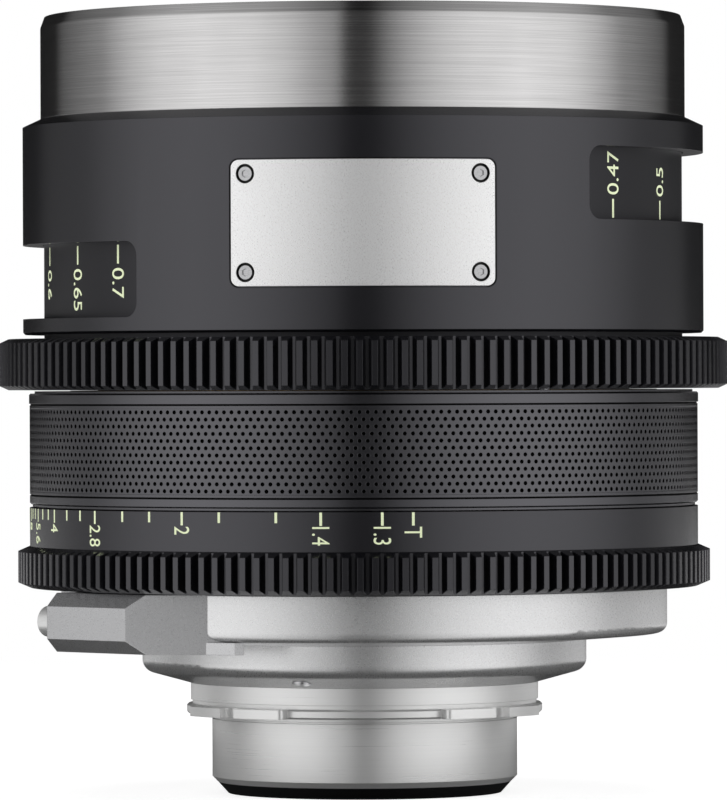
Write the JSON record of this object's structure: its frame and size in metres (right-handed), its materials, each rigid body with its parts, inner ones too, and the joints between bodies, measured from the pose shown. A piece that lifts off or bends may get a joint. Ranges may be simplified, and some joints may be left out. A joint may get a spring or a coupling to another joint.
{
  "type": "cinema prime lens",
  "caption": "Fast full-frame cinema prime lens with geared focus and iris rings, scale windows, a data port and a four-tab 54 mm positive-lock mount.",
  "frame": {"origin": "on the optical axis, in the plane of the mount flange's seat", "axes": "+Z along the optical axis towards the front of the lens, -Y the side with the name plate, +X the assistant's side, so that the data port is at -X"},
  "size_m": [0.1288, 0.1288, 0.1371],
  "materials": {
    "brushed_dark": "circumferentially brushed, dark anodised tint",
    "black_anodised": "matte black anodised, fine bead-blasted grain",
    "black_inner": "dull black anodised with stray-light steps",
    "grey_anodised": "satin grey, bead-blasted",
    "bright_steel": "fine-turned stainless steel",
    "plate_silver": "fine grained silver plate",
    "screw_steel": "plain machine screws",
    "scale_black": "matte black with pale luminous numbers",
    "bronze": "plain turned bronze",
    "raw_aluminium": "fine turned, clear anodised",
    "coated_glass": "polished, with a thin anti-reflection coat",
    "blade_black": "dull black dry-film coated spring steel",
    "socket_steel": "bright plated",
    "contact_gold": "gold plated",
    "socket_plastic": "moulded insulator"
  },
  "bodies": {
    "barrel": {"front_ring": "brushed_dark", "front_ring_screws": "screw_steel", "front_bezel": "black_inner", "front_cell": "black_inner", "front_element": "coated_glass", "second_element": "coated_glass", "front_housing": "black_anodised", "name_plate": "plate_silver", "name_plate_screws": "screw_steel", "main_barrel": "raw_aluminium", "focus_thrust_rings": "bronze", "focus_stop_pin": "screw_steel", "grip_sleeve": "black_anodised", "grip_sleeve_screws": "screw_steel", "rear_housing": "grey_anodised", "rear_housing_screws": "screw_steel", "data_port_housing": "grey_anodised", "data_port_socket": "socket_steel", "data_port_insulator": "socket_plastic", "data_port_contacts": "contact_gold", "mount_shim": "raw_aluminium", "mount": "bright_steel", "mount_screws": "screw_steel", "rear_cell": "black_inner", "rear_cell_screws": "screw_steel", "rear_retaining_ring": "black_inner", "rear_lens_spacer": "black_inner", "rear_front_element": "coated_glass", "rear_middle_element": "coated_glass", "rear_element": "coated_glass", "rear_baffle": "black_inner", "iris_base_plate": "black_inner", "iris_cover_ring": "black_inner"},
    "focus_ring": {"focus_gear_ring": "black_anodised", "focus_scale_sleeve": "scale_black", "focus_cam_sleeve": "raw_aluminium"},
    "focus_group": {"focus_cell": "black_inner", "focus_front_element": "coated_glass", "focus_middle_element": "coated_glass", "focus_rear_element": "coated_glass", "focus_rollers": "bronze", "focus_roller_screws": "screw_steel"},
    "iris_ring": {"iris_gear_ring": "black_anodised", "iris_scale_ring": "scale_black", "iris_cam_ring": "bronze", "iris_drive_pin": "screw_steel"},
    "iris_blade_01": {"iris_blade_01": "blade_black"},
    "iris_blade_02": {"iris_blade_02": "blade_black"},
    "iris_blade_03": {"iris_blade_03": "blade_black"},
    "iris_blade_04": {"iris_blade_04": "blade_black"},
    "iris_blade_05": {"iris_blade_05": "blade_black"},
    "iris_blade_06": {"iris_blade_06": "blade_black"},
    "iris_blade_07": {"iris_blade_07": "blade_black"},
    "iris_blade_08": {"iris_blade_08": "blade_black"},
    "iris_blade_09": {"iris_blade_09": "blade_black"},
    "iris_blade_10": {"iris_blade_10": "blade_black"},
    "iris_blade_11": {"iris_blade_11": "blade_black"},
    "iris_blade_12": {"iris_blade_12": "blade_black"},
    "iris_blade_13": {"iris_blade_13": "blade_black"}
  },
  "joints": [
    {"name": "focus_turn", "type": "hinge", "parent": "barrel", "child": "focus_ring", "pos_m": [0, 0, 0.0616], "axis": [0, 0, 1], "range_deg": [-159.2, 40.8]},
    {"name": "focus_slide", "type": "slide", "parent": "barrel", "child": "focus_group", "axis": [0, 0, 1], "range_m": [-0.00709, 0.00182]},
    {"name": "iris_turn", "type": "hinge", "parent": "barrel", "child": "iris_ring", "pos_m": [0, 0, 0.026], "axis": [0, 0, 1], "range_deg": [-93, 7]},
    {"name": "iris_blade_01_turn", "type": "hinge", "parent": "barrel", "child": "iris_blade_01", "pos_m": [0.0305, 0, 0.032], "axis": [0, 0, 1], "range_deg": [-35.07, 2.65]},
    {"name": "iris_blade_02_turn", "type": "hinge", "parent": "barrel", "child": "iris_blade_02", "pos_m": [0.02701, 0.01417, 0.032], "axis": [0, 0, 1], "range_deg": [-35.07, 2.65]},
    {"name": "iris_blade_03_turn", "type": "hinge", "parent": "barrel", "child": "iris_blade_03", "pos_m": [0.01733, 0.0251, 0.032], "axis": [0, 0, 1], "range_deg": [-35.07, 2.65]},
    {"name": "iris_blade_04_turn", "type": "hinge", "parent": "barrel", "child": "iris_blade_04", "pos_m": [0.00368, 0.03028, 0.032], "axis": [0, 0, 1], "range_deg": [-35.07, 2.65]},
    {"name": "iris_blade_05_turn", "type": "hinge", "parent": "barrel", "child": "iris_blade_05", "pos_m": [-0.01082, 0.02852, 0.032], "axis": [0, 0, 1], "range_deg": [-35.07, 2.65]},
    {"name": "iris_blade_06_turn", "type": "hinge", "parent": "barrel", "child": "iris_blade_06", "pos_m": [-0.02283, 0.02023, 0.032], "axis": [0, 0, 1], "range_deg": [-35.07, 2.65]},
    {"name": "iris_blade_07_turn", "type": "hinge", "parent": "barrel", "child": "iris_blade_07", "pos_m": [-0.02961, 0.0073, 0.032], "axis": [0, 0, 1], "range_deg": [-35.07, 2.65]},
    {"name": "iris_blade_08_turn", "type": "hinge", "parent": "barrel", "child": "iris_blade_08", "pos_m": [-0.02961, -0.0073, 0.032], "axis": [0, 0, 1], "range_deg": [-35.07, 2.65]},
    {"name": "iris_blade_09_turn", "type": "hinge", "parent": "barrel", "child": "iris_blade_09", "pos_m": [-0.02283, -0.02023, 0.032], "axis": [0, 0, 1], "range_deg": [-35.07, 2.65]},
    {"name": "iris_blade_10_turn", "type": "hinge", "parent": "barrel", "child": "iris_blade_10", "pos_m": [-0.01082, -0.02852, 0.032], "axis": [0, 0, 1], "range_deg": [-35.07, 2.65]},
    {"name": "iris_blade_11_turn", "type": "hinge", "parent": "barrel", "child": "iris_blade_11", "pos_m": [0.00368, -0.03028, 0.032], "axis": [0, 0, 1], "range_deg": [-35.07, 2.65]},
    {"name": "iris_blade_12_turn", "type": "hinge", "parent": "barrel", "child": "iris_blade_12", "pos_m": [0.01733, -0.0251, 0.032], "axis": [0, 0, 1], "range_deg": [-35.07, 2.65]},
    {"name": "iris_blade_13_turn", "type": "hinge", "parent": "barrel", "child": "iris_blade_13", "pos_m": [0.02701, -0.01417, 0.032], "axis": [0, 0, 1], "range_deg": [-35.07, 2.65]}
  ],
  "couplings": [
    {"joint": "focus_slide", "follows": "focus_turn", "m_per_rad": 0.0025497},
    {"joint": "iris_blade_01_turn", "follows": "iris_turn", "ratio": 0.377},
    {"joint": "iris_blade_02_turn", "follows": "iris_turn", "ratio": 0.377},
    {"joint": "iris_blade_03_turn", "follows": "iris_turn", "ratio": 0.377},
    {"joint": "iris_blade_04_turn", "follows": "iris_turn", "ratio": 0.377},
    {"joint": "iris_blade_05_turn", "follows": "iris_turn", "ratio": 0.377},
    {"joint": "iris_blade_06_turn", "follows": "iris_turn", "ratio": 0.377},
    {"joint": "iris_blade_07_turn", "follows": "iris_turn", "ratio": 0.377},
    {"joint": "iris_blade_08_turn", "follows": "iris_turn", "ratio": 0.377},
    {"joint": "iris_blade_09_turn", "follows": "iris_turn", "ratio": 0.377},
    {"joint": "iris_blade_10_turn", "follows": "iris_turn", "ratio": 0.377},
    {"joint": "iris_blade_11_turn", "follows": "iris_turn", "ratio": 0.377},
    {"joint": "iris_blade_12_turn", "follows": "iris_turn", "ratio": 0.377},
    {"joint": "iris_blade_13_turn", "follows": "iris_turn", "ratio": 0.377}
  ]
}
